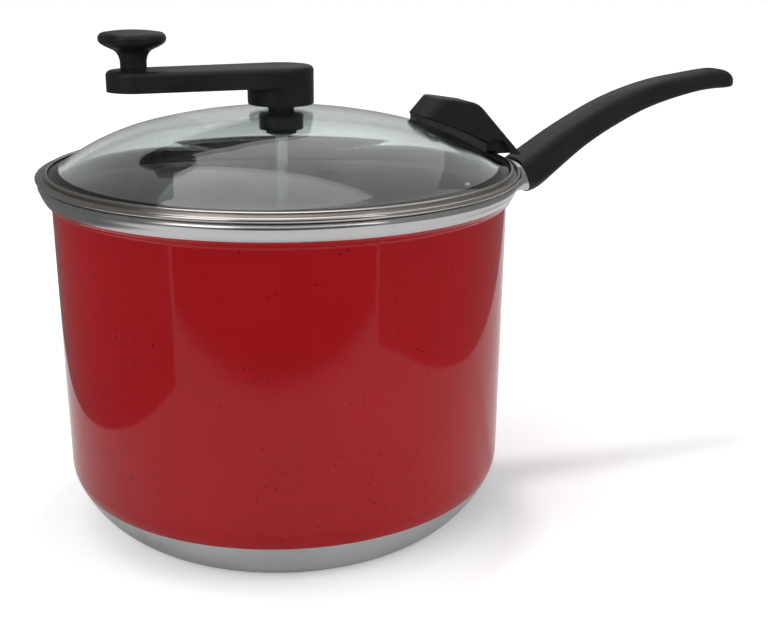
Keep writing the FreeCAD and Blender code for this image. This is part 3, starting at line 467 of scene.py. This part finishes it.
def makeCoat():
    # the coat follows the wall's outside, standing proud by its thickness and thinning to
    # nothing at its edges; as each point is a mean of the outline around it, it fills the
    # corner at the collar's foot
    outside = potOutside()
    steps = np.linalg.norm(np.diff(outside, axis=0), axis=1)
    length = np.concatenate([[0], np.cumsum(steps)])
    rising = slice(0, int(np.argmax(outside[:, 1] > pot["coatTop"])) + 1)
    heights = (pot["coatBottom"], collarPoints(0)[0][1], pot["coatTop"])
    low, foot, high = np.interp(heights, outside[rising, 1], length[rising])
    edge, fill = pot["coatEdge"], pot["coatFill"]
    s = np.concatenate([
        low + np.linspace(0, 1, pot["edgePoints"])[:-1] ** 2 * edge,
        np.linspace(low + edge, foot - fill, pot["wallPoints"])[:-1],
        np.linspace(foot - fill, high - edge, pot["collarPoints"])[:-1],
        high - np.linspace(1, 0, pot["edgePoints"]) ** 2 * edge])
    window = s[:, None] + np.linspace(-0.5, 0.5, pot["fillPoints"])[None, :] * fill
    path = np.stack([np.interp(window, length, outside[:, i]).mean(1) for i in (0, 1)], -1)
    run = np.gradient(path, axis=0)
    run /= np.linalg.norm(run, axis=1)[:, None]
    normal = np.stack([run[:, 1], -run[:, 0]], -1)
    near = np.clip(np.minimum(s - s[0], s[-1] - s) / edge, 0, 1)
    skin = path + normal * (pot["coatThickness"] * np.sqrt(1 - (1 - near) ** 2))[:, None]
    back = path - normal * pot["coatSink"]
    lathe("enamelCoat", np.concatenate([skin, back[::-1]]), "pot", "enamel", "red_enamel",
          sharp=60)


makePot()
makeCoat()
print("pot made")


dome = dict(
    radius=114.725, seat=178.6, edge=1.3, thickness=4.0, hole=4.9, bevel=0.6, points=120,
    crown=285.0, knuckleStart=70.0, knuckle=113.4, flareStart=106.0, flare=27.0,
)
band = dict(
    radius=119.4, bead=1.25, beadEnd=140.0, plane=177.3, sheet=0.8, grooveRise=0.1,
    skirtDepth=6.5, skirtOuter=113.3, ledgeInner=109.825, pocket=115.225,
    ringOuter=115.625, ringRise=0.9, lipInner=113.525, lipLow=180.726, lipOuterLow=180.15,
)


def domeAngle(r):
    # slope of the glass: a crown arc, then a tighter arc, then a slight flare near the edge
    crownSlope = dome["knuckleStart"] / dome["crown"]
    past = np.minimum(r, dome["flareStart"]) - dome["knuckleStart"]
    slope = np.where(past <= 0, r / dome["crown"], crownSlope + past / dome["knuckle"])
    return np.arcsin(slope - np.maximum(r - dome["flareStart"], 0) / dome["flare"])


def domeDrop(r):
    # height lost from the apex out to radius r
    crownAngle = math.asin(dome["knuckleStart"] / dome["crown"])
    drop = dome["crown"] * (1 - np.cos(domeAngle(np.minimum(r, dome["knuckleStart"]))))
    knee = np.cos(domeAngle(np.clip(r, dome["knuckleStart"], dome["flareStart"])))
    drop = drop + dome["knuckle"] * (math.cos(crownAngle) - knee)
    flareCos = np.cos(domeAngle(np.asarray(dome["flareStart"])))
    flared = np.cos(domeAngle(np.maximum(r, dome["flareStart"])))
    return drop + dome["flare"] * (flared - flareCos)


apex = dome["seat"] + dome["edge"] + float(domeDrop(np.asarray(dome["radius"])))


def makeGlass():
    r = np.linspace(dome["hole"], dome["radius"], dome["points"])
    angle = domeAngle(r)
    top = np.stack([r, apex - domeDrop(r)], -1)
    under = top - dome["thickness"] * np.stack([np.sin(angle), np.cos(angle)], -1)
    under = under[(under[:, 1] > dome["seat"]) & (under[:, 0] >= dome["hole"])]
    under[0, 0] = dome["hole"]
    ground = [(dome["radius"], dome["seat"]), (under[-1, 0] + dome["bevel"], dome["seat"])]
    profile = np.concatenate([top, ground, under[::-1]])
    lathe("glassDome", profile, "lid", "glass", "tempered_glass", sharp=50, stands=("lid_glass",))


def makeBand():
    b = band
    beadR, beadZ = b["radius"] - b["bead"], b["plane"] + b["bead"]
    ringTop = b["lipLow"] + b["sheet"]
    endAngle = math.radians(b["beadEnd"])
    beadEnd = (beadR + b["bead"] * math.cos(endAngle), beadZ + b["bead"] * math.sin(endAngle))
    grooveLow = ((beadR - b["bead"] + b["ringOuter"]) / 2, beadZ + b["grooveRise"])
    ringSide = (b["ringOuter"], beadZ + b["ringRise"])
    skirtInner = b["skirtOuter"] - b["sheet"]
    low = b["plane"] - b["skirtDepth"]
    # the ledge and the skirt, each corner with its radius
    lower = softened([
        (b["ledgeInner"], b["plane"] + b["sheet"], 0.3), (b["ledgeInner"], b["plane"], 0.3),
        (skirtInner, b["plane"], 0.5), (skirtInner, low, 0.3),
        (b["skirtOuter"], low, 0.3), (b["skirtOuter"], b["plane"], 0.4), (beadR, b["plane"], 0)])
    bead = arcThrough((beadR, b["plane"]), (b["radius"], beadZ), beadEnd, steps=14)
    groove = arcThrough(beadEnd, grooveLow, ringSide, steps=8)
    ring = arcThrough((b["ringOuter"], ringTop - b["sheet"] / 2),
                      ((b["lipInner"] + b["ringOuter"]) / 2, ringTop),
                      (b["lipInner"], b["lipLow"] + b["sheet"] / 3), steps=8)
    side = straight(ringSide, ring[0], steps=4)
    pocket = [(b["lipInner"], b["lipLow"]), (b["pocket"], b["lipOuterLow"]),
              (b["pocket"], b["plane"] + b["sheet"])]
    profile = np.concatenate([lower[:-1], bead, groove[1:], side[1:-1], ring, pocket])
    lathe("lidBand", profile, "lid", "steel", "polished_steel", stands=("lid_rim_band",))


makeGlass()
makeBand()
print("lid made, apex", round(apex, 2))


# the other nodes keep their CAD shape and only get a finish
nodeFinish = dict(
    handle_bracket="aluminium", bracket_rivets="aluminium", flame_guard="aluminium",
    handle_grip="phenolic", handle_insert="brass", handle_screw="zinc",
    glass_edge_seal="silicone", lid_bushing="acetal", bushing_nut="acetal",
    upper_glass_washer="silicone", lower_glass_washer="silicone",
    thumb_rest="phenolic", thumb_rest_pad="silicone", thumb_rest_insert="brass",
    thumb_rest_screw="zinc", thumb_rest_washer="zinc",
    crank_arm="phenolic", crank_insert="brass", crank_shaft="zinc",
    shaft_thrust_washer="acetal", shaft_clip="zinc", stirrer_hub="aluminium", hub_pin="zinc",
    stirrer_blades="zinc", stirrer_rivets="aluminium",
    crank_knob="phenolic", knob_insert="brass", knob_screw="zinc", knob_washer="acetal",
)
for name, finish in nodeFinish.items():
    for holder in nodes[name].material_slots:
        holder.material = finishes[finish]
print("finishes given to", len(nodeFinish), "nodes")


# the directions along and across the line of sight, level with the floor
levelLength = math.hypot(*cameraSettings["forward"][:2])
awayX, awayY = (v / levelLength for v in cameraSettings["forward"][:2])
away, across = (awayX, awayY, 0.0), (awayY, -awayX, 0.0)

studio = dict(
    floorSize=8.0, floorSink=0.0002,   # m
    floorShade="F0F0F0",
    slant=(0.86, 0.51),                # away and across parts of a line from front to back right
    frontSpan=(-0.06, 0.06),           # m along that line,
    paintedFrontLight=(0.31, 0.05),            # and the painted light added to the floor's shade at its two ends; it thins the shadow in front
    farSpan=(0.28, 1.3),               # m from the axis,
    farLift=0.44,                      # and what is added at the outer end
    frontEdge=(-0.42, -0.33),          # m; in gloss the floor turns dark here, towards the viewer
    darkFront=0.08,                    # what gloss sees of the room and the floor in front,
    mirroredBack=0.29,                 # of the room behind
    mirroredTop=0.85,                  # and of the room above
    frontTurn=(-0.65, 0.1),            # a direction's part away: the front turns into the back
    topRise=(0.12, 0.6),               # a direction's part up: the top comes in
    seenShade=1.0,                     # the floor as it is seen, before what is added
    mirroredShade=0.78,                # and as gloss sees it
    worldStrength=0.52,
    # cards stand beside the object and show only as reflections; path is (across, away) in mm
    leftCard=dict(path=[(-243, -280), (-243, 900)], height=600, glow=0.17),
    rightCard=dict(path=[(316, -324), (350, -235), (360, 900)], height=600, glow=0.24),
    cardEdge=(0.0084, 0.014),          # m from a card's front, over which its glow
    cardEdgeGlow=0.9,                  # falls from the edge's to its own
    top=dict(place=(-0.20, 0.20, 1.60), size=(1.3, 1.3), watts=6.5),
    spot=dict(place=(0.12, 0.20, 1.75), size=(0.2, 0.2), watts=7.0, glossy=False),
    left=dict(place=(-1.30, -0.75, 0.75), size=(1.1, 1.1), watts=7.0),
    right=dict(place=(0.95, -1.15, 0.85), size=(1.0, 1.2), watts=8.0),
    aim=(0.0, 0.0, 0.10),              # the lamps point here
)


def seenWhite(tree):
    # first: 1 where a camera, mirror or glass ray looks, 0 for the light that falls on the
    # object; second: 1 for mirror rays alone (a ray through glass counts as glossy too)
    path = addNode(tree, "LightPath").outputs
    glossy, through = path["Is Glossy Ray"], path["Is Transmission Ray"]
    first = outOf(tree, "Math", path["Is Camera Ray"], glossy, operation="MAXIMUM")
    seen = outOf(tree, "Math", first, through, operation="MAXIMUM")
    mirror = outOf(tree, "Math", glossy, through, operation="SUBTRACT", use_clamp=True)
    return seen, mirror


def makeWorld():
    # white to the eye; in gloss the side towards the viewer is dark, as a studio's open front is
    world = bpy.data.worlds.new("softRoom")
    tree = clearTree(world)
    seen, glossy = seenWhite(tree)
    direction = addNode(tree, "TexCoord").outputs["Generated"]
    ahead = vectorMath(tree, "DOT_PRODUCT", direction, away)
    upward = addNode(tree, "SeparateXYZ", {0: direction}).outputs[2]
    front = remap(tree, ahead, studio["frontTurn"], (studio["darkFront"], studio["mirroredBack"]),
                  smooth=True)
    top = remap(tree, upward, studio["topRise"], (0.0, studio["mirroredTop"]), smooth=True)
    gloss = outOf(tree, "Math", front, top, operation="MAXIMUM")
    mirrored = outOf(tree, "Background", white, gloss)
    shown = outOf(tree, "MixShader", glossy, outOf(tree, "Background", white, 1.0), mirrored)
    plain = outOf(tree, "Background", white, studio["worldStrength"])
    addNode(tree, "OutputWorld", {0: outOf(tree, "MixShader", seen, plain, shown)})
    bpy.context.scene.world = world


def makeFloor():
    # a pale matt sweep: its own shaded colour, lifted so that it clips to white away from the
    # shadow; near the pot the lift is also painted light, which thins the object's shadow in front
    material = bpy.data.materials.new("paleFloor")
    tree = clearTree(material)
    seen, glossy = seenWhite(tree)
    place = addNode(tree, "TexCoord").outputs["Object"]
    distance = vectorMath(tree, "LENGTH", place)
    far = remap(tree, distance, studio["farSpan"], (0.0, studio["farLift"]))
    slant = tuple(np.dot(studio["slant"], (away, across)).tolist())
    along = vectorMath(tree, "DOT_PRODUCT", place, slant)
    # painted light: a glow that thins the shadow in front of the pot and on its left, and less so
    # behind on the right, where the handle's shadow lies
    front = remap(tree, along, studio["frontSpan"], studio["paintedFrontLight"], smooth=True)
    lift = outOf(tree, "Math", far, front, operation="ADD")
    matt = outOf(tree, "BsdfDiffuse", linear(studio["floorShade"]))
    pale, dimmer = [outOf(tree, "BsdfDiffuse", (studio[shade],) * 3 + (1.0,))
                    for shade in ("seenShade", "mirroredShade")]
    lifted = outOf(tree, "AddShader", pale, outOf(tree, "Emission", white, lift))
    ahead = vectorMath(tree, "DOT_PRODUCT", place, away)
    near = remap(tree, ahead, studio["frontEdge"], smooth=True)
    dark = outOf(tree, "Emission", white, studio["darkFront"])
    mirrored = outOf(tree, "MixShader", near, dark, dimmer)
    shown = outOf(tree, "MixShader", glossy, lifted, mirrored)
    addNode(tree, "OutputMaterial", {0: outOf(tree, "MixShader", seen, matt, shown)})
    half = studio["floorSize"] / 2
    mesh = bpy.data.meshes.new("studioFloor")
    mesh.from_pydata([(-half, -half, 0), (half, -half, 0), (half, half, 0), (-half, half, 0)],
                     [], [(0, 1, 2, 3)])
    mesh.materials.append(material)
    floor = bpy.data.objects.new("studioFloor", mesh)
    floor.location.z = -studio["floorSink"]
    bpy.context.scene.collection.objects.link(floor)


def makeCard(name, s):
    # an upright card along its path; its front edge is brighter, and only gloss sees it
    material = bpy.data.materials.new(name)
    tree = clearTree(material)
    place = addNode(tree, "TexCoord").outputs["Object"]
    ahead = vectorMath(tree, "DOT_PRODUCT", place, away)
    front = s["path"][0][1] / 1000
    glow = remap(tree, ahead, [front + step for step in studio["cardEdge"]],
                 (studio["cardEdgeGlow"], s["glow"]))
    addNode(tree, "OutputMaterial", {0: outOf(tree, "Emission", white, glow)})
    foot = np.array(s["path"]) @ (across, away) / 1000
    head = foot + [0, 0, s["height"] / 1000]
    mesh = bpy.data.meshes.new(name)
    mesh.from_pydata(np.concatenate([foot, head]).tolist(), [], gridFaces(2, len(foot), False))
    mesh.materials.append(material)
    card = bpy.data.objects.new(name, mesh)
    for kind in ("camera", "diffuse", "transmission", "shadow"):
        setattr(card, "visible_" + kind, False)
    bpy.context.scene.collection.objects.link(card)


def makeLamp(name, s):
    data = bpy.data.lights.new(name, "AREA")
    data.shape = "RECTANGLE"
    data.size, data.size_y = s["size"]
    data.energy = s["watts"]
    lamp = bpy.data.objects.new(name, data)
    lamp.location = s["place"]
    lamp.visible_camera = False
    lamp.visible_glossy = lamp.visible_transmission = s.get("glossy", True)
    back = np.array(s["place"]) - np.array(studio["aim"])
    back = back / np.linalg.norm(back)
    side = np.cross((0, 0, 1), back)
    side /= np.linalg.norm(side)
    up = np.cross(back, side)
    turn = Matrix([[side[i], up[i], back[i]] for i in range(3)])
    lamp.rotation_euler = turn.to_euler()
    bpy.context.scene.collection.objects.link(lamp)


makeWorld()
makeFloor()
for cardName in ("leftCard", "rightCard"):
    makeCard(cardName, studio[cardName])
for lampName in ("top", "spot", "left", "right"):
    makeLamp(lampName + "Lamp", studio[lampName])
bpy.context.scene.view_settings.view_transform = "Standard"
print("studio made")
